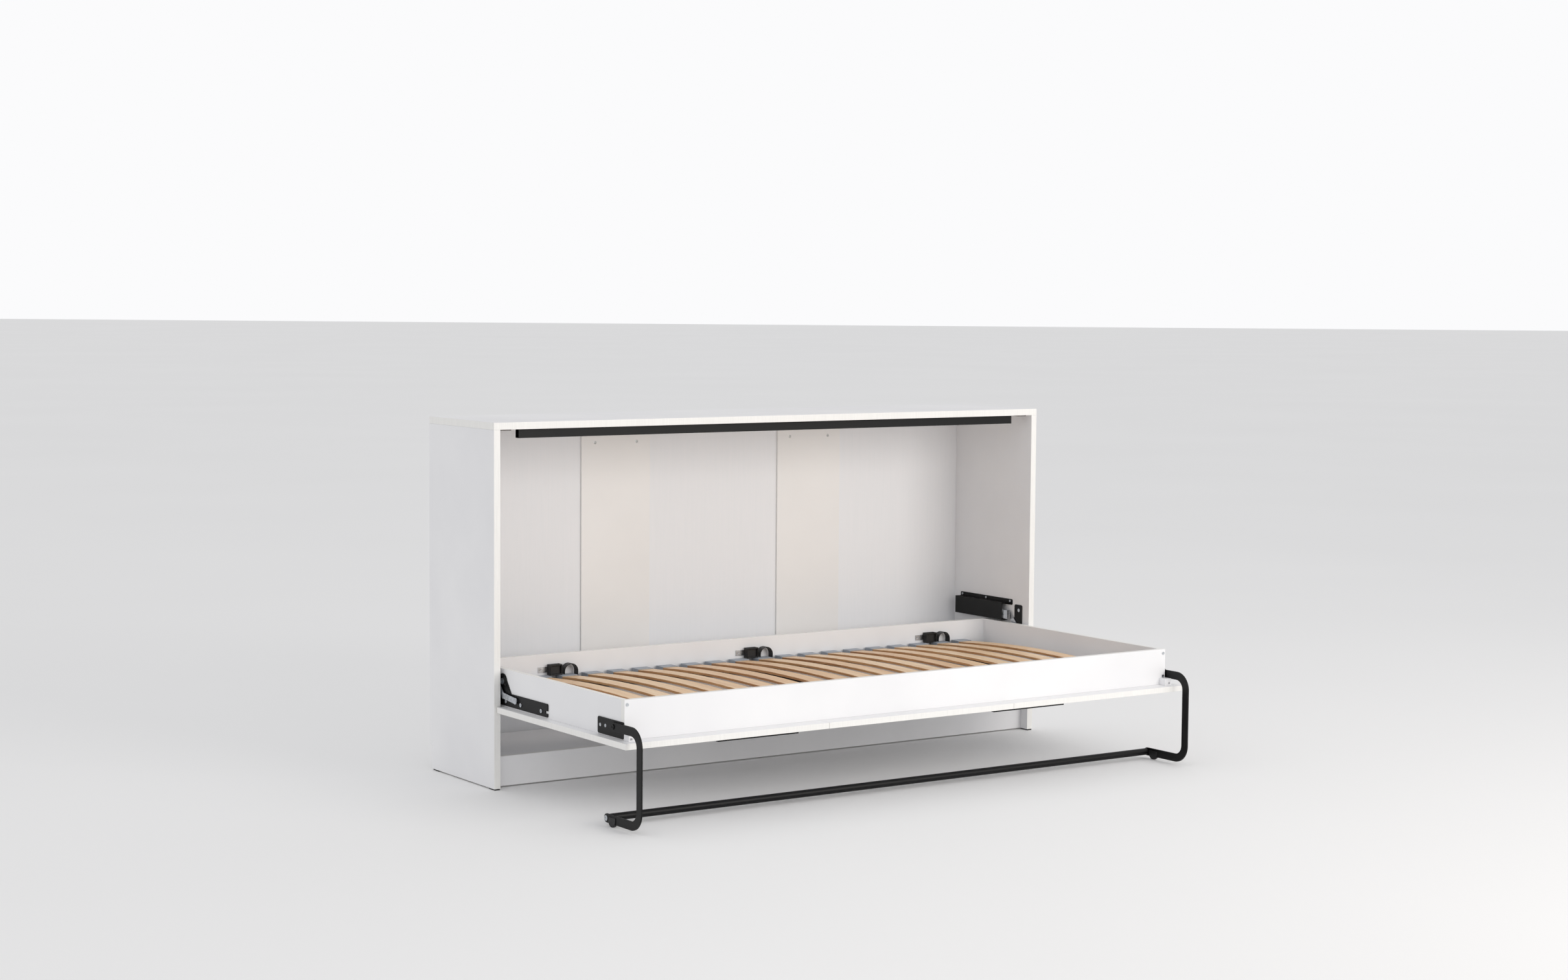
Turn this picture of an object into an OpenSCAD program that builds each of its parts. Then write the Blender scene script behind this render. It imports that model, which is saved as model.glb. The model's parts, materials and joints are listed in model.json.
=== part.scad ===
// Horizontal single wall bed, standing with its bed folded down.
// Millimetres, +Z up, +X to the right, the wall behind at +Y. The origin is at the middle of the floor area.
// "Ahead" is the distance from the wall towards the room, which is -Y.

/* [Mattress] */
// Length of the mattress that the box holds
mattress_l = 2000; // [1600:10:2200]
// Width of the mattress that the box holds
mattress_w = 900; // [700:10:1200]
// Clearance round the mattress
mattress_gap = 2; // [1:1:10]

/* [Cabinet] */
// Depth of the cabinet from the wall to its front edge
cab_d = 430; // [360:5:560]
// Thickness of the side and top boards
board = 22; // [16:1:28]
// Thickness of the box, bottom and plinth boards
panel = 18; // [15:1:22]
// Height of the plinth board
plinth_h = 92; // [60:2:110]
// Setback of the plinth behind the cabinet's front edge
plinth_set = 36; // [10:2:80]
// Height of the nailed glide pads
glide_h = 4; // [3:1:8]
// Length of a glide pad
glide_l = 38; // [20:2:60]
// Depth of the cut-out for the room's skirting board
skirting_d = 15; // [8:1:30]
// Height of the cut-out for the room's skirting board
skirting_h = 80; // [40:5:80]
// Thickness of the back sheets
sheet_t = 3; // [3:0.5:5]
// Depth of the grooves that hold the back sheets
groove_d = 8; // [5:1:10]
// Width of an upright wall batten
batten_w = 260; // [160:10:400]
// Thickness of an upright wall batten
batten_t = 16; // [16:1:19]
// Distance of each batten's middle from the cabinet's middle
batten_x = 385; // [260:5:460]
// Diameter of the wall screw holes
wall_hole_d = 10; // [6:1:14]
// Distance between the two wall screws of a batten
wall_hole_pitch = 158; // [60:2:220]
// Height of the stiffener tube under the top
stiff_h = 28; // [20:1:40]
// Depth of the stiffener tube, front to back
stiff_w = 20; // [15:1:40]
// Setback of the stiffener tube behind the front edge
stiff_set = 20; // [10:1:60]

/* [Bed box] */
// Height of the box's underside above the floor when down
box_z = 256; // [220:2:330]
// Height of the box boards
box_h = 115; // [90:5:160]
// Gap between the box's ends and the cabinet's sides
end_gap = 13; // [13:1:20]

/* [Door] */
// Thickness of the door boards
door_t = 18; // [16:1:22]
// Number of door boards across the front
door_count = 3; // [1:1:6]
// Setback of the door's ends from the cabinet's ends
door_reveal = 8; // [2:1:14]
// Length of a handle strip
handle_l = 280; // [100:10:400]
// Width of a handle strip
handle_w = 14; // [8:1:25]
// Thickness of a handle strip
handle_t = 4; // [3:0.5:8]
// Middle of the left and the right handle strip
handle_x = [-599, 410];

/* [Slats] */
// Number of slats
slat_count = 20; // [8:4:24]
// Width of a slat
slat_w = 53; // [38:1:68]
// Thickness of a slat
slat_t = 8; // [6:0.5:12]
// Rise of a slat at its middle
slat_crown = 20; // [5:1:30]
// Distance between slat middles
slat_pitch = 93; // [80:1:120]

/* [Hinge] */
// Setback of the hinge pin behind the cabinet's front edge
pivot_set = 47; // [40:1:60]
// Radius of the hinge pin
pivot_r = 6; // [4:0.5:8]
// Thickness of the steel hinge and leg plates on the box
plate_t = 3; // [2:0.5:4]

/* [Springs] */
// Thickness of a spring housing, out from the side board
housing_t = 26; // [20:1:30]
// Height of a spring housing
housing_h = 60; // [50:1:80]
// Radius of a spring
spring_r = 8.2; // [6:0.1:9]

/* [Leg] */
// Width of the leg's flat bar
bar_w = 26; // [20:1:32]
// Thickness of the leg's flat bar
bar_t = 5; // [4:0.5:6]
// Bend radius of the flat bar at its middle line
bend_r = 43; // [30:1:60]
// Radius of the leg's cross tube
cross_r = 11; // [8:0.5:14]

/* [Straps] */
// Width of the webbing
web_w = 25; // [20:1:40]
// Thickness of the webbing
web_t = 2; // [1.5:0.5:3]

/* [Hidden] */
$fn = 48;

// Clearances
door_gap = 3;          // closed door to the cabinet's front edge
top_gap = 3;           // closed door to the top of the cabinet
seam_gap = 1;          // between door boards
sweep_gap = 5;         // door's swinging edge to the plinth's top
stiff_gap = 5;         // closed box to the stiffener tube
housing_gap = 4;       // closed box to the spring housing
groove_gap = 0.4;      // back sheet in its groove
run_gap = 0.06;        // shaft in its bore, on the radius
face_gap = 0.4;        // between flat pieces that turn on each other
sheet_end_gap = 1;     // end of a back sheet to the end of its groove

// Box and cabinet across X
inner_l = mattress_l + 2 * mattress_gap;
box_x = inner_l / 2 + panel;
side_x = box_x + end_gap;
cab_x = side_x + board;
door_x = cab_x - door_reveal;

// Heights
door_z = box_z - door_t;
box_top = box_z + box_h;
plinth_top = glide_h + plinth_h;
pivot_z = box_z + door_gap + pivot_set;

// Distances ahead of the wall
pivot_a = cab_d - pivot_set;
swing_r = pivot_z - plinth_top - sweep_gap;
door_rear = pivot_a - sqrt(pow(swing_r, 2) - pow(pivot_z - door_z, 2));
box_rear = door_rear + 12;
inner_rear = box_rear + panel;
inner_front = inner_rear + mattress_w + 2 * mattress_gap;
box_front = inner_front + panel;
door_over = board + stiff_h + stiff_gap - top_gap;
door_front = box_front + door_over;
cab_h = pivot_z + door_front - pivot_a + top_gap;
top_z = cab_h - board;
batten_a = 2;
groove_a = batten_a + batten_t / 2 - 1;
bottom_rear = batten_a + batten_t + 0.5;
plinth_front = cab_d - plinth_set;
stiff_front = cab_d - stiff_set;
stiff_x = side_x - 73;
wall_hole_z = cab_h - 98;

// Slats and their frame
slat_z = box_z + 36;
slat_rear = inner_rear + 8;
slat_front = inner_front - 8;
slat_run = slat_front - slat_rear;
slat_rad = (pow(slat_run / 2, 2) + pow(slat_crown, 2)) / (2 * slat_crown);
cap_d = 40;
cap_side = 2;
cap_z = slat_z - 4;
cap_h = slat_t + 10;
rail_d = 30;
rail_h = cap_z - box_z - 6;
rail_wall = 1.5;
bank_size = slat_count / 5;
cross_x = 8 * slat_pitch;

// Hinge, link and springs
big_bolt = [pivot_a + 42, pivot_z + 27];
link_pin = [pivot_a + 131, pivot_z - 22];
link_knee = [pivot_a + 54, pivot_z - 14];
rod_pin = [pivot_a - 53, pivot_z + 91];
pin_r = 4;
link_t = 2.6;
link_w = 18;
catch_t = 4;
bush_r = pivot_r + 3.3;
link_x = box_x + plate_t + 4;
fixed_x = link_x + link_t + 0.8;
housing_rear = 50;
housing_front = pivot_a - (box_top - pivot_z) - housing_gap;
housing_z = box_top + 5;
housing_wall = 1.5;
housing_x = side_x - housing_t;
flange_h = 14;
flange_front = housing_front + 28;
spring_x = housing_x + housing_wall + 1 + spring_r;
spring_z = [rod_pin[1] - 8.8, rod_pin[1] + 8.8];
spring_rear = housing_rear + housing_wall + 2;
spring_front = rod_pin[0] - 12;
coil_pitch = 6;

// Leg
leg_a = box_front - 50;
leg_pin_z = box_z + 33;
run_z = bar_w / 2 + 9;
upright_a = door_front + 41;
foot_a = box_front - 52.5;
foot_r = 20;
cross_a = box_front - 84;
leg_x = box_x + plate_t + face_gap;
leg_pin_r = 5;
bolt_r = 8;

// Straps
strap_at = [-cross_x, 0, cross_x];
anchor_w = 88;
anchor_h = 18;
anchor_z = box_top - 48;
anchor_t = 2;
buckle_w = 44;
buckle_h = 34;
arch_r = 25;
arch_z = anchor_z - 8;
arch_x = slat_pitch / 2 + 16;

front_reach = upright_a + bar_w / 2;
wall_y = front_reach / 2;

white = "whitesmoke";
black = "#1c1c1e";
zinc = "silver";
beech = "burlywood";

// Places geometry that is drawn with the wall at y = 0
module from_wall() translate([0, wall_y, 0]) children();

// Draws the right-hand shape, or its mirror image on the left
module on_side(side) mirror([side < 0 ? 1 : 0, 0, 0]) children();

// Block between two distances ahead of the wall
module block(x0, x1, a0, a1, z0, z1)
    translate([x0, -a1, z0]) cube([x1 - x0, a1 - a0, z1 - z0]);

// Plate of outline [ahead, z], standing across X from x0
module upright_plate(x0, t)
    translate([x0, 0, 0]) rotate([90, 0, 90]) mirror([1, 0, 0]) linear_extrude(t) children();

// Round bar along X through a point [ahead, z]
module pin_x(at, r, x0, x1)
    translate([x0, -at[0], at[1]]) rotate([0, 90, 0]) cylinder(r = r, h = x1 - x0);

// Flat outline of one width with round ends and corners, along a list of points
module strip(points, w, eye = 0) {
    for (p = points) translate(p) circle(d = w + eye);
    for (i = [0 : len(points) - 2]) {
        run = points[i + 1] - points[i];
        translate(points[i]) rotate(atan2(run[1], run[0])) translate([0, -w / 2]) square([norm(run), w]);
    }
}

// Rectangle with quarter-round corners
module rounded_rect(p, q, r) {
    translate([p[0] + r, p[1]]) square([q[0] - p[0] - 2 * r, q[1] - p[1]]);
    translate([p[0], p[1] + r]) square([q[0] - p[0], q[1] - p[1] - 2 * r]);
    for (a = [p[0] + r, q[0] - r], z = [p[1] + r, q[1] - r]) translate([a, z]) circle(r = r);
}

// Quarter of a flat bar's bend, from angle a0 to a0 + 90
module bend(at, r, w, a0)
    translate(at) intersection() {
        difference() {
            circle(r = r + w / 2);
            circle(r = r - w / 2);
        }
        rotate(a0) square(r + w);
    }

// Screw with a hexagon socket; its head stands on the face at x0
module screw_x(at, r, h, x0) difference() {
    pin_x(at, r, x0, x0 + h);
    translate([x0 + h - 1, -at[0], at[1]]) rotate([0, 90, 0]) cylinder(r = r * 0.45, h = 2, $fn = 6);
}

// Cabinet
module side_panel(side) color(white) from_wall() on_side(side) difference() {
    block(side_x, cab_x, 0, cab_d, glide_h, top_z);
    block(side_x - 1, cab_x + 1, -1, skirting_d, 0, skirting_h);
    block(side_x - 1, side_x + groove_d, groove_a, groove_a + sheet_t + groove_gap, skirting_h, top_z + 1);
}
module top_panel() color(white) from_wall() difference() {
    block(-cab_x, cab_x, 0, cab_d, top_z, cab_h);
    block(-side_x - groove_d, side_x + groove_d, groove_a, groove_a + sheet_t + groove_gap,
        top_z - 1, top_z + groove_d);
}
module bottom_panel() color(white) from_wall()
    block(-side_x, side_x, bottom_rear, plinth_front - panel, plinth_top - panel, plinth_top);
module plinth_front() color(white) from_wall()
    block(-side_x, side_x, plinth_front - panel, plinth_front, glide_h, plinth_top);
module back_batten(side) color(white) from_wall() on_side(side) difference() {
    block(batten_x - batten_w / 2, batten_x + batten_w / 2, batten_a, batten_a + batten_t,
        skirting_h, top_z);
    for (x = [batten_x - batten_w / 2 - 1, batten_x + batten_w / 2 - groove_d])
        block(x, x + groove_d + 1, groove_a, groove_a + sheet_t + groove_gap, skirting_h - 1, top_z + 1);
    for (x = [batten_x - wall_hole_pitch / 2, batten_x + wall_hole_pitch / 2])
        translate([x, 0, wall_hole_z]) rotate([90, 0, 0]) cylinder(d = wall_hole_d, h = 2 * batten_t + 4);
}
module back_sheet(x0, x1) color(white) from_wall()
    block(x0, x1, groove_a + groove_gap / 2, groove_a + groove_gap / 2 + sheet_t,
        skirting_h, top_z + groove_d - sheet_end_gap);
module back_sheet_side(side) on_side(side)
    back_sheet(batten_x + batten_w / 2 - groove_d + sheet_end_gap, side_x + groove_d - sheet_end_gap);
module back_sheet_centre() {
    half = batten_x - batten_w / 2 + groove_d - sheet_end_gap;
    back_sheet(-half, half);
}
module top_stiffener() color(black) from_wall() difference() {
    block(-stiff_x, stiff_x, stiff_front - stiff_w, stiff_front, top_z - stiff_h, top_z);
    block(-stiff_x - 1, stiff_x + 1, stiff_front - stiff_w + rail_wall, stiff_front - rail_wall,
        top_z - stiff_h + rail_wall, top_z - rail_wall);
}
module catch_plates() color("dimgray") from_wall() for (side = [-1, 1]) on_side(side)
    block(side_x - 46, side_x - 12, cab_d - 52, cab_d - 16, top_z - catch_t, top_z);
module glide_pads() color(black) from_wall() for (side = [-1, 1], a = [skirting_d + 4, cab_d - glide_l]) on_side(side)
    block(side_x + 2, cab_x - 2, a, a + glide_l, 0, glide_h);

// Screws through the spring housing's flange and the fixed hinge plate
module cabinet_screws() color(zinc) from_wall() for (side = [-1, 1]) on_side(side) {
    for (a = [housing_rear + 12, (housing_rear + flange_front) / 2, flange_front - 12])
        mirror([1, 0, 0]) screw_x([a, housing_z + housing_h + flange_h / 2], 4, 2, -side_x + 2);
    pin_x([pivot_a - 5, pivot_z + 109], 6, fixed_x - 0.4, fixed_x);
}

// Sheet-steel channel with a screw flange, open at the front for the link
module spring_housing(side) color(black) from_wall() on_side(side) {
    top = housing_z + housing_h;
    block(housing_x, housing_x + housing_wall, housing_rear, housing_front, housing_z, top);
    block(housing_x, side_x, housing_rear, housing_front, top - housing_wall, top);
    block(housing_x, side_x, housing_rear, housing_front, housing_z, housing_z + housing_wall);
    block(housing_x, side_x, housing_rear, housing_rear + housing_wall, housing_z, top);
    upright_plate(side_x - 2, 2) rounded_rect([housing_rear, top - 6], [flange_front, top + flange_h], 5);
}
module hinge_plate(side) color(black) from_wall() on_side(side) {
    upright_plate(fixed_x, side_x - fixed_x)
        rounded_rect([pivot_a - 28, pivot_z - 56], [pivot_a + 12, pivot_z + 128], 6);
    pin_x([pivot_a, pivot_z], pivot_r * 2, box_x + plate_t + face_gap, fixed_x + 1);
    pin_x([pivot_a, pivot_z], pivot_r, box_x + face_gap, fixed_x + 1);
}

// Ring that turns on each hinge pin, inside the arm's eye
module hinge_bushes() color(zinc) from_wall() for (side = [-1, 1]) on_side(side) difference() {
    pin_x([pivot_a, pivot_z], bush_r, box_x + face_gap, box_x + plate_t);
    pin_x([pivot_a, pivot_z], pivot_r + run_gap, box_x, box_x + plate_t + 1);
}

// Two stretched coil springs, each as one ribbed sleeve
module lift_springs(side) color(zinc) from_wall() on_side(side) for (z = spring_z)
    translate([spring_x, -spring_rear, z]) rotate([90, 0, 0]) rotate_extrude() {
        run = spring_front - spring_rear;
        translate([spring_r - 2.6, 0]) square([1.4, run]);
        for (i = [0 : floor(run / coil_pitch) - 1])
            translate([spring_r - 1.5, coil_pitch * (i + 0.5)]) circle(r = 1.5, $fn = 24);
    }

// Yoke with the cross pin; it draws the springs out as the bed goes down
module pull_rod(side) color(zinc) from_wall() on_side(side) {
    block(spring_x - 7, spring_x + 7, spring_front + 0.3, rod_pin[0] + 8, rod_pin[1] - 15, rod_pin[1] + 15);
    pin_x(rod_pin, pin_r, spring_x + 6, link_x - face_gap);
}
module link(side) color(zinc) from_wall() on_side(side) difference() {
    upright_plate(link_x, link_t) strip([link_pin, link_knee, rod_pin], link_w, 2);
    pin_x(link_pin, pin_r + run_gap, link_x - 1, link_x + link_t + 1);
    pin_x(rod_pin, pin_r, link_x - 1, link_x + link_t + 1);
}

// Bed box
module front_rail() color(white) from_wall() block(-box_x, box_x, inner_front, box_front, box_z, box_top);
module rear_rail() color(white) from_wall() block(-box_x, box_x, box_rear, inner_rear, box_z, box_top);
module end_board(side) color(white) from_wall() on_side(side)
    block(inner_l / 2, box_x, inner_rear, inner_front, box_z, box_top);
module door_panel(i) color(white) from_wall() difference() {
    w = 2 * door_x / door_count;
    block(-door_x + i * w + (i > 0 ? seam_gap / 2 : 0), -door_x + (i + 1) * w - (i < door_count - 1 ? seam_gap / 2 : 0),
        door_rear, door_front, door_z, box_z);
    for (side = [-1, 1]) on_side(side)
        block(box_x, door_x + 1, door_rear - 1, cab_d + door_gap, door_z - 1, box_z + 1);
}
module handle(x) color(black) from_wall()
    block(x - handle_l / 2, x + handle_l / 2, door_front - handle_w, door_front, door_z - handle_t, door_z);

// Slat frame
module frame_rail(a0) color(black) from_wall() difference() {
    x = inner_l / 2 - 4;
    block(-x, x, a0, a0 + rail_d, cap_z - rail_h, cap_z);
    block(-x - 1, x + 1, a0 + rail_wall, a0 + rail_d - rail_wall, cap_z - rail_h + rail_wall, cap_z - rail_wall);
}
module frame_cross_bars() color(black) from_wall() for (x = [-cross_x, 0, cross_x])
    block(x - 15, x + 15, inner_rear + 4 + rail_d, inner_front - 4 - rail_d, cap_z - rail_h + 2, cap_z - 4);
module slat_outline(grow) intersection() {
    mid = (slat_rear + slat_front) / 2;
    translate([mid, slat_z + slat_crown - slat_rad]) difference() {
        circle(r = slat_rad + slat_t + grow, $fn = 1440);
        circle(r = slat_rad - grow, $fn = 1440);
    }
    translate([slat_rear - grow, slat_z - 40]) square([slat_run + 2 * grow, slat_crown + slat_t + 80]);
}
function slat_x(i) = (i - (slat_count - 1) / 2) * slat_pitch;
module slat_bank(n) color(beech) from_wall() for (i = [n * bank_size : (n + 1) * bank_size - 1])
    upright_plate(slat_x(i) - slat_w / 2, slat_w) slat_outline(0);
module slat_caps(a0) color("#a9b0b8") from_wall() for (i = [0 : slat_count - 1]) difference() {
    w = slat_w / 2 + cap_side;
    block(slat_x(i) - w, slat_x(i) + w, a0, a0 + cap_d, cap_z, cap_z + cap_h);
    upright_plate(slat_x(i) - slat_w / 2 - 0.2, slat_w + 0.4) slat_outline(0.2);
}

// Steel arm that turns on the hinge pin and carries the box's end
module hinge_arm(side) color(black) from_wall() on_side(side) difference() {
    low = box_z + 4;
    tail = pivot_a + 322;
    upright_plate(box_x, plate_t) {
        rounded_rect([pivot_a - 26, low], [tail, low + 40], 5);
        strip([[pivot_a, pivot_z], big_bolt], 45, 3);
        polygon([[pivot_a - 23, low + 10], [pivot_a - 23, pivot_z], big_bolt, big_bolt + [20, 10],
            [pivot_a + 96, low + 38], [pivot_a + 96, low + 10]]);
    }
    pin_x([pivot_a, pivot_z], bush_r + run_gap, box_x - 1, box_x + plate_t + 1);
    block(box_x - 1, box_x + plate_t + 1, tail - 14, tail + 1, low + 11, low + 19);
}
module leg_plate(side) color(black) from_wall() on_side(side) {
    upright_plate(box_x, plate_t) rounded_rect([box_front - 145, box_z + 3], [box_front, box_z + 51], 6);
    pin_x([leg_a, leg_pin_z], leg_pin_r, box_x + plate_t - 1, leg_x + bar_t + face_gap);
    screw_x([leg_a, leg_pin_z], bolt_r, 2, leg_x + bar_t + face_gap);
}

// Zinc screws of the bed box
module bed_screws() color(zinc) from_wall() for (side = [-1, 1]) on_side(side) {
    for (z = [box_z + 27, box_top - 14]) translate([box_x - panel / 2, -box_front, z]) rotate([90, 0, 0]) difference() {
        cylinder(r = 5, h = 1.2);
        translate([0, 0, 0.4]) cylinder(r = 2.4, h = 2, $fn = 6);
    }
    for (a = [pivot_a + 66, pivot_a + 158, pivot_a + 284]) screw_x([a, box_z + 19], 6, 2.5, box_x + plate_t);
    screw_x(big_bolt, 10, 3.2, box_x + plate_t);
    pin_x(link_pin, pin_r, box_x + plate_t, link_x + link_t + face_gap / 2);
    for (x = [cross_x]) for (a = [-80, 0, 90]) translate([x, -(inner_rear + inner_front) / 2 - a, cap_z - 4])
        cylinder(r = 6, h = 5, $fn = 6);
}

// Webbing straps that hold the mattress when the bed is shut
module strap_anchors() color(zinc) from_wall() for (x = strap_at)
    block(x - anchor_w / 2, x + anchor_w / 2, inner_rear, inner_rear + anchor_t,
        anchor_z - anchor_h / 2, anchor_z + anchor_h / 2);
module strap_buckles() color(black) from_wall() for (x = strap_at)
    block(x - 12, x - 12 + buckle_w, inner_rear + anchor_t, inner_rear + anchor_t + 22,
        anchor_z - buckle_h / 2, anchor_z + buckle_h / 2);
module strap(x) color(black) from_wall()
    translate([x + arch_x, -inner_rear - anchor_t, arch_z]) rotate([90, 0, 0]) linear_extrude(web_w) {
        tail = arch_z - cap_z - 1;
        difference() {
            circle(r = arch_r);
            circle(r = arch_r - web_t);
            translate([-arch_r - 1, -arch_r - 1]) square([2 * arch_r + 2, arch_r + 1]);
        }
        translate([arch_r - web_t, -tail]) square([web_t, tail]);
        translate([-arch_r, -8]) square([web_t, 8]);
    }
module corner_clips() color(white) from_wall() for (side = [-1, 1]) on_side(side) difference() {
    reach = top_z - catch_t - 1 - pivot_z + pivot_a;
    block(box_x - 24, box_x + 2, box_front, reach, box_z, box_z + 22);
    block(box_x - 10, box_x - 2, reach - 8, reach + 1, box_z + 4, box_z + 10);
}

// Fold-away leg
module leg_outline() {
    rear = leg_a - 4;
    strip([[rear, leg_pin_z], [upright_a - bend_r, leg_pin_z]], bar_w);
    bend([upright_a - bend_r, leg_pin_z - bend_r], bend_r, bar_w, 0);
    translate([upright_a - bar_w / 2, run_z + bend_r]) square([bar_w, leg_pin_z - run_z - 2 * bend_r]);
    bend([upright_a - bend_r, run_z + bend_r], bend_r, bar_w, -90);
    strip([[upright_a - bend_r, run_z], [cross_a, run_z]], bar_w);
}
module leg_arm(side) color(black) from_wall() on_side(side) difference() {
    upright_plate(leg_x, bar_t) leg_outline();
    pin_x([leg_a, leg_pin_z], leg_pin_r + run_gap, leg_x - 1, leg_x + bar_t + 1);
    pin_x([cross_a, run_z], 4, leg_x - 1, leg_x + bar_t + 1);
}
module leg_crossbar() color(black) from_wall() pin_x([cross_a, run_z], cross_r, -leg_x, leg_x);
module leg_feet() color(black) from_wall() for (side = [-1, 1]) on_side(side) difference() {
    pin_x([foot_a, foot_r], foot_r, leg_x - 2, leg_x + bar_t + 2);
    upright_plate(leg_x, bar_t) strip([[upright_a - bend_r, run_z], [cross_a, run_z]], bar_w);
    block(leg_x - 3, leg_x + bar_t + 3, foot_a - foot_r - 1, foot_a + foot_r + 1, run_z + 6, 3 * foot_r);
}
module leg_bolts() color(zinc) from_wall() for (side = [-1, 1]) on_side(side) {
    pin_x([cross_a, run_z], 4, leg_x, leg_x + bar_t);
    screw_x([cross_a, run_z], bolt_r, 2.5, leg_x + bar_t);
}

side_panel(-1);  // side_panel_left
side_panel(1);  // side_panel_right
top_panel();
bottom_panel();
plinth_front();
back_batten(-1);  // back_batten_left
back_batten(1);  // back_batten_right
back_sheet_side(-1);  // back_sheet_left
back_sheet_centre();
back_sheet_side(1);  // back_sheet_right
top_stiffener();
catch_plates();
glide_pads();
cabinet_screws();
spring_housing(-1);  // spring_housing_left
spring_housing(1);  // spring_housing_right
hinge_plate(-1);  // hinge_plate_left
hinge_plate(1);  // hinge_plate_right
hinge_bushes();
lift_springs(-1);  // lift_springs_left
lift_springs(1);  // lift_springs_right
pull_rod(-1);  // pull_rod_left
pull_rod(1);  // pull_rod_right
link(-1);  // link_left
link(1);  // link_right
front_rail();
rear_rail();
end_board(-1);  // end_board_left
end_board(1);  // end_board_right
door_panel(0);  // door_panel_left
door_panel(1);  // door_panel_centre
door_panel(2);  // door_panel_right
handle(handle_x[0]);  // handle_left
handle(handle_x[1]);  // handle_right
frame_rail(inner_rear + 4);  // frame_rail_rear
frame_rail(inner_front - 4 - rail_d);  // frame_rail_front
frame_cross_bars();
slat_bank(0);  // slat_bank_1
slat_bank(1);  // slat_bank_2
slat_bank(2);  // slat_bank_3
slat_bank(3);  // slat_bank_4
slat_bank(4);  // slat_bank_5
slat_caps(slat_rear - 3);  // slat_caps_rear
slat_caps(slat_front + 3 - cap_d);  // slat_caps_front
hinge_arm(-1);  // hinge_arm_left
hinge_arm(1);  // hinge_arm_right
leg_plate(-1);  // leg_plate_left
leg_plate(1);  // leg_plate_right
strap_anchors();
strap_buckles();
strap(strap_at[0]);  // strap_left
strap(strap_at[1]);  // strap_middle
strap(strap_at[2]);  // strap_right
corner_clips();
bed_screws();
leg_arm(-1);  // leg_arm_left
leg_arm(1);  // leg_arm_right
leg_crossbar();
leg_feet();
leg_bolts();
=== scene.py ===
import bpy
import json
import math
from mathutils import Matrix, Vector


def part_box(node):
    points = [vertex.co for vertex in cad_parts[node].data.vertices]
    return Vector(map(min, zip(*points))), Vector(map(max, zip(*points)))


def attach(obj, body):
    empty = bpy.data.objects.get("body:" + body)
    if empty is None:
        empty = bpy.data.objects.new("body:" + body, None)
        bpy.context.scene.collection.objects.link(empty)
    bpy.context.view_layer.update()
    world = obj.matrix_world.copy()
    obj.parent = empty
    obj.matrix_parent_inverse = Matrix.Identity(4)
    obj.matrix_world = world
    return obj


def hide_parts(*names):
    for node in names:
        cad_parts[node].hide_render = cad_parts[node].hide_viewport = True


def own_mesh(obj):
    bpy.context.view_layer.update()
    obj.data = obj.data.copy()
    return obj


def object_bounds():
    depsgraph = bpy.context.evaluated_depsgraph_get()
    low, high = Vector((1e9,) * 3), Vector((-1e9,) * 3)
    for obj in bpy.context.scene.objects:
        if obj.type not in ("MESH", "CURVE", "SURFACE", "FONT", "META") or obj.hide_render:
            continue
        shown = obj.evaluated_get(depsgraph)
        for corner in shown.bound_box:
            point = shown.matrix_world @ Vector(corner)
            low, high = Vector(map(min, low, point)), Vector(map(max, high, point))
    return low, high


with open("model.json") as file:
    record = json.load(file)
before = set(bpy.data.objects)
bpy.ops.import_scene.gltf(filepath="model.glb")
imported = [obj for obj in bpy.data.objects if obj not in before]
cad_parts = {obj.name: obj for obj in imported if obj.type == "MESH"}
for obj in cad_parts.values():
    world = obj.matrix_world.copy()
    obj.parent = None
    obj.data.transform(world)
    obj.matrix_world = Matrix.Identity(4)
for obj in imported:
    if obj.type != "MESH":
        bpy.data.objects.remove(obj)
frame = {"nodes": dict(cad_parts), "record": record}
cadLow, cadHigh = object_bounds()
mm = 0.001
bodyOf = {node: body for body, nodes in frame["record"]["behaviour"]["bodies"].items() for node in nodes}
slotOf = {part["node"]: part["material_slot"] for part in frame["record"]["subparts"]}
print("frame: %d nodes" % len(frame["nodes"]))


# ---- small helpers ----

# sRGB hex to linear
def linearColour(code):
    parts = [int(code[i:i + 2], 16) / 255 for i in (1, 3, 5)]
    return [c / 12.92 if c <= 0.04045 else ((c + 0.055) / 1.055) ** 2.4 for c in parts] + [1.0]


# One node with its settings and links
def addNode(tree, kind, settings=None, links=None):
    node = tree.nodes.new(kind)
    for key, value in (settings or {}).items():
        if isinstance(key, int) or key in node.inputs:
            node.inputs[key].default_value = value
        else:
            setattr(node, key, value)
    for key, socket in (links or {}).items():
        tree.links.new(socket, node.inputs[key])
    return node


def startMaterial(name, settings):
    material = bpy.data.materials.new(name)
    material.use_nodes = True
    tree = material.node_tree
    tree.nodes.clear()
    shader = addNode(tree, "ShaderNodeBsdfPrincipled", settings)
    addNode(tree, "ShaderNodeOutputMaterial", links={"Surface": shader.outputs["BSDF"]})
    place = addNode(tree, "ShaderNodeTexCoord").outputs["Object"]
    return material, tree, shader, place


# Object coordinates scaled per axis
def stretched(tree, place, scale):
    return addNode(tree, "ShaderNodeMapping", {"Scale": scale}, {"Vector": place}).outputs["Vector"]


def colourRamp(tree, factor, stops):
    ramp = addNode(tree, "ShaderNodeValToRGB", links={"Fac": factor})
    band = ramp.color_ramp
    while len(band.elements) < len(stops):
        band.elements.new(0.5)
    for element, (position, code) in zip(band.elements, stops):
        element.position = position
        element.color = linearColour(code)
    return ramp.outputs["Color"]


def roughnessFrom(tree, shader, factor, low, high):
    spread = addNode(tree, "ShaderNodeMapRange", {"To Min": low, "To Max": high}, {"Value": factor})
    tree.links.new(spread.outputs["Result"], shader.inputs["Roughness"])


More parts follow.
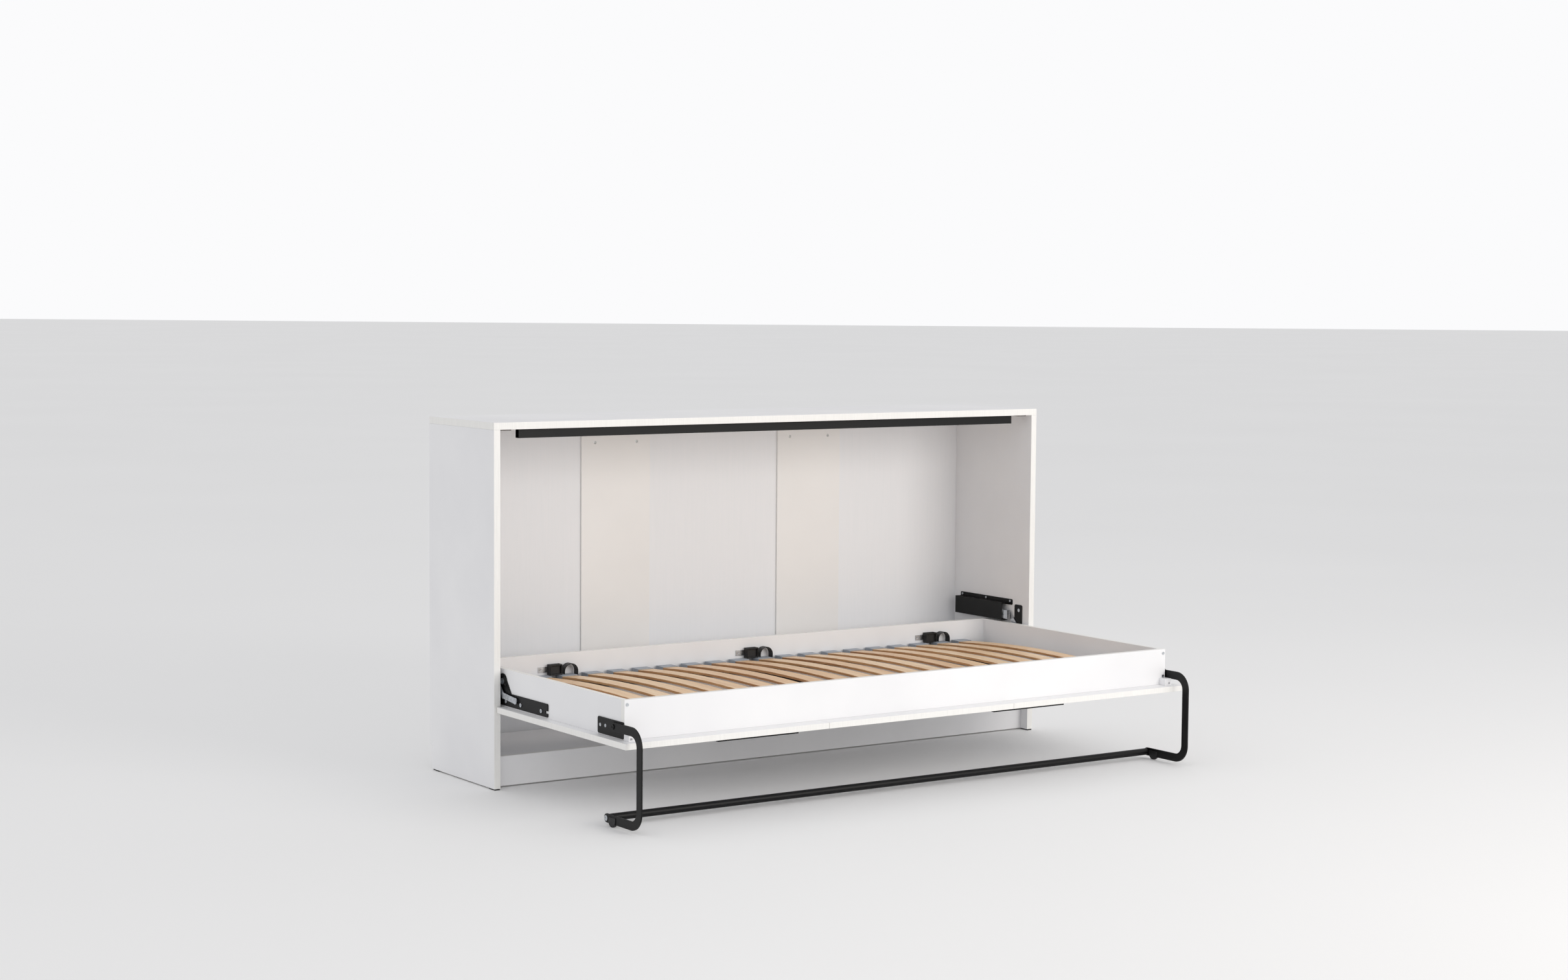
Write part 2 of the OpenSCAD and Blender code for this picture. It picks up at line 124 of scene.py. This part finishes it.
def bumpFrom(tree, shader, height, distance, strength):
    bump = addNode(tree, "ShaderNodeBump", {"Distance": distance, "Strength": strength}, {"Height": height})
    tree.links.new(bump.outputs["Normal"], shader.inputs["Normal"])


# ---- materials ----

# Melamine-faced chipboard, pressed against a pearl-textured plate: an even, soft-gloss white
def melamineBoard():
    look = {"top": "#f4f4f5", "low": "#ececee", "cloud": 2.5, "pearl": 1 / (2.2 * mm)}
    material, tree, shader, place = startMaterial("white melamine board", {"IOR": 1.5})
    cloud = addNode(tree, "ShaderNodeTexNoise", {"Scale": look["cloud"], "Detail": 3.0}, {"Vector": place})
    pearl = addNode(tree, "ShaderNodeTexNoise", {"Scale": look["pearl"], "Detail": 2.0}, {"Vector": place})
    tint = colourRamp(tree, cloud.outputs["Fac"], [(0.3, look["low"]), (0.7, look["top"])])
    tree.links.new(tint, shader.inputs["Base Color"])
    roughnessFrom(tree, shader, pearl.outputs["Fac"], 0.34, 0.50)
    bumpFrom(tree, shader, pearl.outputs["Fac"], 0.05 * mm, 0.35)
    return material


# The same board from a warmer batch
def battenBoard():
    look = {"top": "#f3f1ef", "low": "#eeecea", "cloud": 3.0, "pearl": 1 / (2.2 * mm)}
    material, tree, shader, place = startMaterial("warm white melamine board", {"IOR": 1.5})
    pearl = addNode(tree, "ShaderNodeTexNoise", {"Scale": look["pearl"], "Detail": 2.0}, {"Vector": place})
    cloud = addNode(tree, "ShaderNodeTexNoise", {"Scale": look["cloud"], "Detail": 3.0}, {"Vector": place})
    tree.links.new(colourRamp(tree, cloud.outputs["Fac"], [(0.3, look["low"]), (0.7, look["top"])]),
                   shader.inputs["Base Color"])
    roughnessFrom(tree, shader, pearl.outputs["Fac"], 0.36, 0.52)
    bumpFrom(tree, shader, pearl.outputs["Fac"], 0.05 * mm, 0.35)
    return material


# ABS edging 0.8 mm thick, ironed on: smoother and a touch warmer than the faces
def edgeBand():
    look = {"top": "#f6f5f2", "low": "#eeedea", "scrape": 700}
    material, tree, shader, place = startMaterial("white edge band", {"IOR": 1.5})
    scraped = stretched(tree, place, (1.0, 1.0, 0.02))
    streak = addNode(tree, "ShaderNodeTexNoise", {"Scale": look["scrape"], "Detail": 2.0},
                     {"Vector": scraped})
    tree.links.new(colourRamp(tree, streak.outputs["Fac"], [(0.3, look["low"]), (0.7, look["top"])]),
                   shader.inputs["Base Color"])
    roughnessFrom(tree, shader, streak.outputs["Fac"], 0.28, 0.42)
    return material


# Thin hardboard with a rolled white lacquer: flatter than the boards, with faint roller lines
def lacqueredFibreboard():
    look = {"top": "#f0f0f2", "low": "#edeef0", "roller": 160}
    material, tree, shader, place = startMaterial("white lacquered fibreboard", {"IOR": 1.45})
    drawn = stretched(tree, place, (1.0, 1.0, 0.03))
    roller = addNode(tree, "ShaderNodeTexNoise", {"Scale": look["roller"], "Detail": 3.0}, {"Vector": drawn})
    tree.links.new(colourRamp(tree, roller.outputs["Fac"], [(0.25, look["low"]), (0.75, look["top"])]),
                   shader.inputs["Base Color"])
    roughnessFrom(tree, shader, roller.outputs["Fac"], 0.45, 0.6)
    bumpFrom(tree, shader, roller.outputs["Fac"], 0.02 * mm, 0.15)
    return material


# Polyester powder baked on steel: near-black satin with a fine orange peel
def powderCoat():
    look = {"top": "#0b0b0c", "low": "#060607", "peel": 1 / (1.6 * mm), "worn": 9}
    material, tree, shader, place = startMaterial(
        "black powder coat", {"IOR": 1.5, "Specular IOR Level": 0.25})
    peel = addNode(tree, "ShaderNodeTexNoise", {"Scale": look["peel"], "Detail": 3.0}, {"Vector": place})
    worn = addNode(tree, "ShaderNodeTexNoise", {"Scale": look["worn"], "Detail": 4.0}, {"Vector": place})
    tree.links.new(colourRamp(tree, worn.outputs["Fac"], [(0.3, look["low"]), (0.7, look["top"])]),
                   shader.inputs["Base Color"])
    roughnessFrom(tree, shader, worn.outputs["Fac"], 0.36, 0.52)
    bumpFrom(tree, shader, peel.outputs["Fac"], 0.12 * mm, 0.5)
    return material


# Steel with bright barrel zinc: cool, slightly cloudy metal
def zincPlate():
    look = {"top": "#d3d6da", "low": "#a9aeb4", "cloud": 180, "brush": 1400}
    material, tree, shader, place = startMaterial("bright zinc plate", {"Metallic": 1.0})
    cloud = addNode(tree, "ShaderNodeTexNoise", {"Scale": look["cloud"], "Detail": 4.0}, {"Vector": place})
    brush = addNode(tree, "ShaderNodeTexNoise", {"Scale": look["brush"], "Detail": 2.0}, {"Vector": place})
    tree.links.new(colourRamp(tree, cloud.outputs["Fac"], [(0.3, look["low"]), (0.7, look["top"])]),
                   shader.inputs["Base Color"])
    roughnessFrom(tree, shader, cloud.outputs["Fac"], 0.22, 0.4)
    bumpFrom(tree, shader, brush.outputs["Fac"], 0.03 * mm, 0.3)
    return material


# Peeled beech under clear lacquer: pale pink-tan, grain along the slat, short darker flecks,
# and each slat a little lighter or darker than the next
def beechVeneer(name, stops, pitch):
    look = {"grain": 85.0, "grainAlong": 0.045, "fleck": 620.0, "fleckAlong": 0.12, "fleckTone": "#a9734a",
            "slatShift": 0.14}
    material, tree, shader, place = startMaterial(
        name, {"IOR": 1.5, "Coat Weight": 0.15, "Coat Roughness": 0.3})
    along = stretched(tree, place, (1.0, look["grainAlong"], 1.0))
    grain = addNode(tree, "ShaderNodeTexNoise", {"Scale": look["grain"], "Detail": 6.0, "Distortion": 0.6},
                    {"Vector": along})
    dash = stretched(tree, place, (1.0, look["fleckAlong"], 1.0))
    fleck = addNode(tree, "ShaderNodeTexNoise", {"Scale": look["fleck"], "Detail": 1.0}, {"Vector": dash})
    axis = addNode(tree, "ShaderNodeSeparateXYZ", links={"Vector": place})
    step = addNode(tree, "ShaderNodeMath", {"operation": "DIVIDE", 1: pitch}, {0: axis.outputs["X"]})
    whole = addNode(tree, "ShaderNodeMath", {"operation": "FLOOR"}, {0: step.outputs["Value"]})
    lot = addNode(tree, "ShaderNodeTexWhiteNoise", {"noise_dimensions": "1D"}, {"W": whole.outputs["Value"]})
    lift = addNode(tree, "ShaderNodeMapRange", {"To Min": -look["slatShift"], "To Max": look["slatShift"]},
                   {"Value": lot.outputs["Value"]})
    mixed = addNode(tree, "ShaderNodeMath", {"operation": "ADD"},
                    {0: grain.outputs["Fac"], 1: lift.outputs["Result"]})
    wood = colourRamp(tree, mixed.outputs["Value"], stops)
    spots = addNode(tree, "ShaderNodeMapRange", {"From Min": 0.64, "From Max": 0.74, "To Max": 0.45},
                    {"Value": fleck.outputs["Fac"]})
    tone = addNode(tree, "ShaderNodeMix", {"data_type": "RGBA", 7: linearColour(look["fleckTone"])},
                   {0: spots.outputs["Result"], 6: wood})
    tree.links.new(tone.outputs[2], shader.inputs["Base Color"])
    roughnessFrom(tree, shader, grain.outputs["Fac"], 0.38, 0.55)
    bumpFrom(tree, shader, grain.outputs["Fac"], 0.15 * mm, 0.35)
    return material


# Injection moulded in a spark-textured tool, with the grit in mm
def mouldedPlastic(name, low, high, grit, roughness):
    material, tree, shader, place = startMaterial(name, {"IOR": 1.46})
    spark = addNode(tree, "ShaderNodeTexNoise", {"Scale": 1 / (grit * mm), "Detail": 3.0}, {"Vector": place})
    tree.links.new(colourRamp(tree, spark.outputs["Fac"], [(0.3, low), (0.7, high)]),
                   shader.inputs["Base Color"])
    roughnessFrom(tree, shader, spark.outputs["Fac"], roughness - 0.06, roughness + 0.08)
    bumpFrom(tree, shader, spark.outputs["Fac"], 0.06 * mm, 0.5)
    return material


# Woven polyester: slanting ribs crossed by the yarns, and a soft sheen.
# A wave texture repeats every wave / scale, and further apart on the slant
def polyesterWebbing():
    look = {"rib": 1.6 * mm, "yarn": 0.8 * mm, "wave": 0.314, "slant": 1.7}
    material, tree, shader, place = startMaterial(
        "black polyester webbing", {"Roughness": 0.8, "Sheen Weight": 0.3, "Sheen Roughness": 0.4})
    ribScale = look["wave"] / look["rib"] / look["slant"]
    yarnScale = look["wave"] / look["yarn"]
    rib = addNode(tree, "ShaderNodeTexWave",
                  {"bands_direction": "DIAGONAL", "Scale": ribScale, "Distortion": 0.3}, {"Vector": place})
    yarn = addNode(tree, "ShaderNodeTexWave", {"bands_direction": "Y", "Scale": yarnScale},
                   {"Vector": place})
    weave = addNode(tree, "ShaderNodeMath", {"operation": "MULTIPLY"},
                    {0: rib.outputs["Fac"], 1: yarn.outputs["Fac"]})
    tree.links.new(colourRamp(tree, weave.outputs["Value"], [(0.0, "#0e0e10"), (1.0, "#242528")]),
                   shader.inputs["Base Color"])
    bumpFrom(tree, shader, weave.outputs["Value"], 0.3 * mm, 0.7)
    return material


slats = {"width": 53 * mm, "thick": 8 * mm, "steps": 28, "arris": 1.6 * mm, "banks": 5, "perBank": 4}
slatPitch = (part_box("slat_bank_2")[0].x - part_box("slat_bank_1")[0].x) / slats["perBank"]
beechStops = [(0.28, "#e2b88c"), (0.5, "#efcba1"), (0.72, "#f7dcb9")]
edgeStops = [(0.28, "#a8764c"), (0.5, "#c3905f"), (0.72, "#d3a574")]
looks = {
    "white_board": melamineBoard(),
    "batten": battenBoard(),
    "edge": edgeBand(),
    "back_sheet": lacqueredFibreboard(),
    "black_steel": powderCoat(),
    "zinc": zincPlate(),
    "beech": beechVeneer("lacquered beech veneer", beechStops, slatPitch),
    "beech_edge": beechVeneer("beech ply edge", edgeStops, slatPitch),
    "grey_plastic": mouldedPlastic("grey moulded plastic", "#9aa1ab", "#a9b0b9", 1.4, 0.5),
    "black_plastic": mouldedPlastic("black moulded plastic", "#0e0e0f", "#161617", 1.4, 0.45),
    "white_plastic": mouldedPlastic("white moulded plastic", "#ececee", "#f5f5f6", 1.8, 0.32),
    "grey_plate": mouldedPlastic("grey-brown painted plate", "#57514b", "#6b655e", 1.5, 0.45),
    "webbing": polyesterWebbing(),
}
for name, node in frame["nodes"].items():  # every carried-over node gets its slot's look
    node.data.materials.clear()
    node.data.materials.append(looks[slotOf[name]])
print("materials: %d" % len(looks))


# ---- modelling helpers ----

smoothAngle = 50
weldDistance = 0.01 * mm

def onlySelect(piece):
    bpy.ops.object.select_all(action="DESELECT")
    piece.select_set(True)
    bpy.context.view_layer.objects.active = piece


def applyModifier(piece, kind, **settings):
    onlySelect(piece)
    modifier = piece.modifiers.new(kind.lower(), kind)
    for key, value in settings.items():
        setattr(modifier, key, value)
    bpy.ops.object.modifier_apply(modifier=modifier.name)


# Rounds the arrises and keeps big faces flat in the shading
def softenEdges(piece, width, segments=2, angle=35):
    applyModifier(piece, "BEVEL", width=width, segments=segments, limit_method="ANGLE",
                  angle_limit=math.radians(angle), use_clamp_overlap=True)
    onlySelect(piece)
    bpy.ops.object.shade_smooth_by_angle(angle=math.radians(smoothAngle))
    applyModifier(piece, "WEIGHTED_NORMAL", keep_sharp=True, weight=90)


def settle(piece, name, look, body, replaced=()):
    onlySelect(piece)
    bpy.ops.object.transform_apply(location=True, rotation=True, scale=True)
    piece.name = name
    if look:
        piece.data.materials.clear()
        piece.data.materials.append(looks[look])
    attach(piece, body)
    if replaced:
        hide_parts(*replaced)
    return piece


# A merged copy of a node's mesh, with its flat faces whole again
def copyOfNode(node, name):
    piece = bpy.data.objects.new(name, frame["nodes"][node].data.copy())
    bpy.context.scene.collection.objects.link(piece)
    onlySelect(piece)
    bpy.ops.object.mode_set(mode="EDIT")
    bpy.ops.mesh.select_all(action="SELECT")
    bpy.ops.mesh.remove_doubles(threshold=weldDistance)
    bpy.ops.mesh.dissolve_limited(angle_limit=math.radians(0.5))
    bpy.ops.object.mode_set(mode="OBJECT")
    return piece


# Gives the faces that pass the test the piece's material of that index
def markFaces(piece, index, test):
    for face in piece.data.polygons:
        if test(face):
            face.material_index = index


def addPrimitive(maker, **settings):
    bpy.ops.object.select_all(action="DESELECT")
    maker(**settings)
    return bpy.context.active_object


def selectFaces(piece, test):
    bpy.ops.object.mode_set(mode="OBJECT")
    for part in (piece.data.vertices, piece.data.edges, piece.data.polygons):
        for item in part:
            item.select = False
    for face in piece.data.polygons:
        face.select = test(face)
    bpy.ops.object.mode_set(mode="EDIT")
    bpy.context.tool_settings.mesh_select_mode = (False, False, True)


# ---- boards: same shape as their nodes, with rounded arrises and edging on the narrow faces ----

boards = {"arris": 0.7 * mm, "battenArris": 1.5 * mm,
          "nodes": ["side_panel_left", "side_panel_right", "top_panel", "bottom_panel", "plinth_front",
                    "back_batten_left", "back_batten_right", "front_rail", "rear_rail", "end_board_left",
                    "end_board_right", "door_panel_left", "door_panel_centre", "door_panel_right"]}


def makeBoard(node):
    piece = copyOfNode(node, node + "_edged")
    low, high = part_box(node)
    size = high - low
    thin = min(range(3), key=lambda i: size[i])
    piece.data.materials.append(looks["edge"])
    batten = node.startswith("back_batten")
    piece.data.materials[0] = looks["batten" if batten else "white_board"]
    markFaces(piece, 1, lambda face: abs(face.normal[thin]) < 0.5)
    softenEdges(piece, boards["battenArris"] if batten else boards["arris"])
    settle(piece, piece.name, None, bodyOf[node], [node])


for node in boards["nodes"]:
    makeBoard(node)
print("boards: %d" % len(boards["nodes"]))


# ---- steel, plastic and small parts: same shape as their nodes, with rounded edges ----

smallParts = {
    "black steel": {"arris": 0.7 * mm,
                    "nodes": ["spring_housing_left", "spring_housing_right", "hinge_plate_left",
                              "hinge_plate_right", "hinge_arm_left", "hinge_arm_right", "leg_plate_left",
                              "leg_plate_right", "handle_left", "handle_right", "top_stiffener",
                              "frame_rail_rear", "frame_rail_front", "frame_cross_bars"]},
    "leg bars": {"arris": 1.4 * mm, "nodes": ["leg_arm_left", "leg_arm_right"]},
    "zinc": {"arris": 0.4 * mm,
             "nodes": ["link_left", "link_right", "pull_rod_left", "pull_rod_right", "leg_bolts",
                       "strap_anchors", "cabinet_screws", "bed_screws", "hinge_bushes"]},
    "plastic": {"arris": 0.8 * mm,
                "nodes": ["slat_caps_rear", "slat_caps_front", "glide_pads", "corner_clips", "leg_feet",
                          "catch_plates"]},
}
for group in smallParts.values():
    for node in group["nodes"]:
        piece = copyOfNode(node, node + "_finished")
        softenEdges(piece, group["arris"])
        settle(piece, piece.name, slotOf[node], bodyOf[node], [node])
print("small parts done")


# ---- slats: a rectangle spun about the crown's centre ----

def makeSlat(bank, index):
    low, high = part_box(bank)
    x = low.x + slats["width"] / 2 + index * slatPitch
    half = (high.y - low.y) / 2
    crown = high.z - low.z - slats["thick"]
    radius = (half ** 2 + crown ** 2) / (2 * crown)
    middle = Vector((x, (low.y + high.y) / 2, high.z - slats["thick"] - radius))
    turn = math.asin(half / radius)
    piece = addPrimitive(bpy.ops.mesh.primitive_plane_add, size=1, rotation=(math.pi / 2, 0, 0),
                         location=(x, middle.y, middle.z + radius + slats["thick"] / 2))
    piece.scale = (slats["width"], slats["thick"], 1)
    bpy.ops.object.transform_apply(location=True, rotation=True, scale=True)
    bpy.ops.object.mode_set(mode="EDIT")
    bpy.ops.mesh.select_all(action="SELECT")
    bpy.ops.transform.rotate(value=-turn, orient_axis="X", center_override=middle)
    bpy.ops.mesh.spin(steps=slats["steps"], angle=2 * turn, center=middle, axis=(1, 0, 0))
    bpy.ops.mesh.select_all(action="SELECT")
    bpy.ops.mesh.normals_make_consistent(inside=False)
    bpy.ops.object.mode_set(mode="OBJECT")
    piece.data.materials.append(looks["beech"])
    piece.data.materials.append(looks["beech_edge"])
    markFaces(piece, 1, lambda face: abs(face.normal.x) > 0.5)
    softenEdges(piece, slats["arris"], segments=3, angle=60)
    return piece


for bankNumber in range(1, slats["banks"] + 1):
    bank = "slat_bank_%d" % bankNumber
    for index in range(slats["perBank"]):
        piece = makeSlat(bank, index)
        name = "slat_%02d" % ((bankNumber - 1) * slats["perBank"] + index + 1)
        settle(piece, name, None, "bed", [bank])
print("slats done")


# ---- lift springs: a wire ring screwed into a coil ----

springs = {"wire": 1.5 * mm, "wireSides": 8, "radius": 6.7 * mm, "pitch": 6 * mm, "steps": 20, "keep": 0.47}


def makeCoil(side, row):
    low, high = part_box("lift_springs_" + side)
    length = high.y - low.y
    radius = (high.x - low.x) / 2
    z = low.z + radius if row == 0 else high.z - radius
    turns = int(length / springs["pitch"]) - 1
    coil = addPrimitive(bpy.ops.mesh.primitive_circle_add, radius=springs["wire"],
                        vertices=springs["wireSides"], location=(springs["radius"], 0, 0))
    bpy.ops.object.transform_apply(location=True)
    applyModifier(coil, "SCREW", axis="Y", screw_offset=springs["pitch"], iterations=turns,
                  steps=springs["steps"], render_steps=springs["steps"], use_normal_calculate=True)
    coil.location = ((low.x + high.x) / 2, low.y + springs["wire"] * 2, z)
    onlySelect(coil)
    bpy.ops.object.mode_set(mode="EDIT")
    bpy.ops.mesh.select_all(action="SELECT")
    bpy.ops.mesh.remove_doubles(threshold=weldDistance)
    bpy.ops.mesh.select_all(action="DESELECT")
    bpy.ops.mesh.select_mode(type="EDGE")
    bpy.ops.mesh.select_non_manifold()
    bpy.ops.mesh.edge_face_add()
    bpy.ops.mesh.select_all(action="SELECT")
    bpy.ops.mesh.normals_make_consistent(inside=False)
    bpy.ops.object.mode_set(mode="OBJECT")
    bpy.ops.object.shade_smooth()
    settle(coil, "lift_spring_%s_%d" % (side, row + 1), "zinc", "cabinet", ["lift_springs_" + side])
    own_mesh(coil)


for side in ("left", "right"):
    for row in (0, 1):
        makeCoil(side, row)
print("springs done")


# ---- cross tube of the leg: round tube with closed, rounded ends ----

crossTube = {"vertices": 48, "arris": 1.2 * mm}


def makeCrossTube():
    low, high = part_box("leg_crossbar")
    tube = addPrimitive(bpy.ops.mesh.primitive_cylinder_add, radius=(high.z - low.z) / 2,
                        depth=high.x - low.x, vertices=crossTube["vertices"],
                        rotation=(0, math.pi / 2, 0), location=(low + high) / 2)
    softenEdges(tube, crossTube["arris"], segments=3, angle=60)
    settle(tube, "leg_cross_tube", "black_steel", "leg", ["leg_crossbar"])


makeCrossTube()
print("cross tube done")


# ---- zinc screws with a sunk round socket, standing on a face along X or Y ----

screws = {"socket": 0.46, "vertices": 32}


# The place is on the face, and along points out of it
def makeScrew(name, place, along, kind):
    out = Vector(along)
    screw = addPrimitive(bpy.ops.mesh.primitive_cylinder_add, radius=kind["radius"], depth=kind["head"],
                         vertices=screws["vertices"], location=Vector(place) + out * kind["head"] / 2,
                         rotation=out.to_track_quat("Z", "Y").to_euler())
    bpy.ops.object.transform_apply(location=True, rotation=True, scale=True)
    selectFaces(screw, lambda face: face.normal.dot(out) > 0.9)
    bpy.ops.mesh.inset(thickness=kind["radius"] * (1 - screws["socket"]))
    bpy.ops.transform.translate(value=-out * kind["deep"])
    bpy.ops.object.mode_set(mode="OBJECT")
    softenEdges(screw, kind["arris"], segments=2, angle=40)
    settle(screw, name, "zinc", "bed")


# Two on each leg plate, low enough for the folding arm to pass over
plateScrews = {"radius": 5 * mm, "head": 0.3 * mm, "deep": 0.15 * mm, "arris": 0.06 * mm, "plate": 3 * mm,
               "fromRear": (15 * mm, 44 * mm), "fromTop": (23 * mm, 22 * mm)}


def addPlateScrews(side, word):
    low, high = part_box("leg_plate_" + word)
    face = min(abs(low.x), abs(high.x)) + plateScrews["plate"]
    for number, (fromRear, fromTop) in enumerate(zip(plateScrews["fromRear"], plateScrews["fromTop"])):
        makeScrew("leg_plate_%s_screw_%d" % (word, number + 1),
                  (side * face, high.y - fromRear, high.z - fromTop), (side, 0, 0), plateScrews)


for side, word in ((-1, "left"), (1, "right")):
    addPlateScrews(side, word)

# One at each end of each strap bracket
bracketScrews = {"radius": 2.6 * mm, "head": 1.6 * mm, "deep": 1 * mm, "arris": 0.3 * mm, "fromEnd": 9 * mm,
                 "bracket": 88 * mm}
strapNodes = ("strap_left", "strap_middle", "strap_right")


def addBracketScrews(number):
    low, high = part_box("strap_anchors")
    pitch = (high.x - low.x - bracketScrews["bracket"]) / (len(strapNodes) - 1)
    start = low.x + number * pitch
    for word, x in (("left", start + bracketScrews["fromEnd"]),
                    ("right", start + bracketScrews["bracket"] - bracketScrews["fromEnd"])):
        makeScrew("bracket_%d_screw_%s" % (number + 1, word), (x, low.y, (low.z + high.z) / 2),
                  (0, -1, 0), bracketScrews)


for number in range(len(strapNodes)):
    addBracketScrews(number)
print("screws done")


# ---- straps: webbing arched over the slats ----

straps = {"thick": 2 * mm, "arch": 25 * mm, "steps": 20, "foot": 8 * mm, "arris": 0.6 * mm}


def makeStrap(node):
    low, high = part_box(node)
    centre = Vector(((low.x + high.x) / 2, (low.y + high.y) / 2, high.z - straps["arch"]))
    piece = addPrimitive(bpy.ops.mesh.primitive_plane_add, size=1,
                         location=(low.x + straps["thick"] / 2, centre.y, centre.z - straps["foot"]))
    piece.scale = (straps["thick"], high.y - low.y, 1)
    bpy.ops.object.transform_apply(location=True, rotation=True, scale=True)
    bpy.ops.object.mode_set(mode="EDIT")
    bpy.ops.mesh.select_all(action="SELECT")
    bpy.ops.mesh.extrude_region_move(TRANSFORM_OT_translate={"value": (0, 0, straps["foot"])})
    bpy.ops.mesh.spin(steps=straps["steps"], angle=-math.pi, center=centre, axis=(0, 1, 0))
    bpy.ops.mesh.extrude_region_move(TRANSFORM_OT_translate={"value": (0, 0, low.z - centre.z)})
    bpy.ops.mesh.select_all(action="SELECT")
    bpy.ops.mesh.normals_make_consistent(inside=False)
    bpy.ops.object.mode_set(mode="OBJECT")
    softenEdges(piece, straps["arris"], segments=2, angle=60)
    settle(piece, node + "_webbing", "webbing", "bed", [node])


for node in strapNodes:
    makeStrap(node)


# ---- buckles: a block with a well in its front and in its top, where the webbing goes in ----

buckles = {"wide": 44 * mm, "rim": 4 * mm, "well": 7 * mm, "arris": 1.2 * mm}


def makeBuckle(number):
    low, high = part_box("strap_buckles")
    pitch = (high.x - low.x - buckles["wide"]) / (len(strapNodes) - 1)
    block = addPrimitive(bpy.ops.mesh.primitive_cube_add, size=1,
                         location=(low.x + buckles["wide"] / 2 + number * pitch,
                                   (low.y + high.y) / 2, (low.z + high.z) / 2))
    block.scale = (buckles["wide"], high.y - low.y, high.z - low.z)
    bpy.ops.object.transform_apply(location=True, rotation=True, scale=True)
    selectFaces(block, lambda face: face.normal.y < -0.5 or face.normal.z > 0.5)
    bpy.ops.mesh.inset(thickness=buckles["rim"], use_individual=True)
    bpy.ops.mesh.extrude_region_shrink_fatten(TRANSFORM_OT_shrink_fatten={"value": -buckles["well"]})
    bpy.ops.object.mode_set(mode="OBJECT")
    softenEdges(block, buckles["arris"], segments=3)
    settle(block, "strap_buckle_%d" % (number + 1), "black_plastic", "bed",
           ["strap_buckles"])


for number in range(len(strapNodes)):
    makeBuckle(number)
print("straps and buckles done")


# ---- floor, light and camera ----

floorSize = 240
floor = addPrimitive(bpy.ops.mesh.primitive_plane_add, size=floorSize, location=(0, 0, cadLow.z))
floorLook, tree, shader, place = startMaterial("pale studio floor", {"Roughness": 0.85})
soft = addNode(tree, "ShaderNodeTexNoise", {"Scale": 0.4, "Detail": 2.0}, {"Vector": place})
tree.links.new(colourRamp(tree, soft.outputs["Fac"], [(0.0, "#f4f4f4"), (1.0, "#f8f8f8")]),
               shader.inputs["Base Color"])
floor.data.materials.append(floorLook)
floor.name = "studio_floor"

backdrop = {"colour": "#fbfbfc", "lighting": 0.78, "seen": 1.0}
world = bpy.data.worlds.new("studio")
world.use_nodes = True
sky = world.node_tree.nodes["Background"]
sky.inputs["Color"].default_value = linearColour(backdrop["colour"])
seen = addNode(world.node_tree, "ShaderNodeLightPath").outputs["Is Camera Ray"]
glow = addNode(world.node_tree, "ShaderNodeMapRange",
               {"To Min": backdrop["lighting"], "To Max": backdrop["seen"]}, {"Value": seen})
world.node_tree.links.new(glow.outputs["Result"], sky.inputs["Strength"])
bpy.context.scene.world = world
bpy.context.scene.view_settings.view_transform = "Standard"


def addSoftbox(name, place, aim, size, power, colour):
    data = bpy.data.lights.new(name, "AREA")
    data.shape, data.size, data.size_y = "RECTANGLE", size[0], size[1]
    data.energy, data.color = power, linearColour(colour)[:3]
    lamp = bpy.data.objects.new(name, data)
    lamp.location = place
    lamp.rotation_mode = "QUATERNION"
    lamp.rotation_quaternion = (Vector(aim) - Vector(place)).to_track_quat("-Z", "Y")
    bpy.context.scene.collection.objects.link(lamp)


addSoftbox("key_softbox", place=(2.4, -6.0, 2.4), aim=(0.0, 0.0, 0.5), size=(4.0, 3.0), power=150,
           colour="#fffaf4")
addSoftbox("fill_softbox", place=(-4.5, -4.0, 2.2), aim=(0.0, 0.2, 0.6), size=(3.0, 3.0), power=8,
           colour="#f4f8ff")

camera = {"azimuth": -34.25, "elevation": 4.44, "roll": 0.44, "lens": 60.97,
          "place": (-4.8215, -6.8907, 1.5429), "sensor": 36, "far": 100}
data = bpy.data.cameras.new("camera")
data.lens, data.sensor_width, data.clip_end = camera["lens"], camera["sensor"], camera["far"]
shot = bpy.data.objects.new("camera", data)
shot.matrix_world = (Matrix.Translation(camera["place"])
                     @ Matrix.Rotation(math.radians(camera["azimuth"]), 4, "Z")
                     @ Matrix.Rotation(math.radians(90 - camera["elevation"]), 4, "X")
                     @ Matrix.Rotation(math.radians(camera["roll"]), 4, "Z"))
bpy.context.scene.collection.objects.link(shot)
bpy.context.scene.camera = shot
print("stage done")
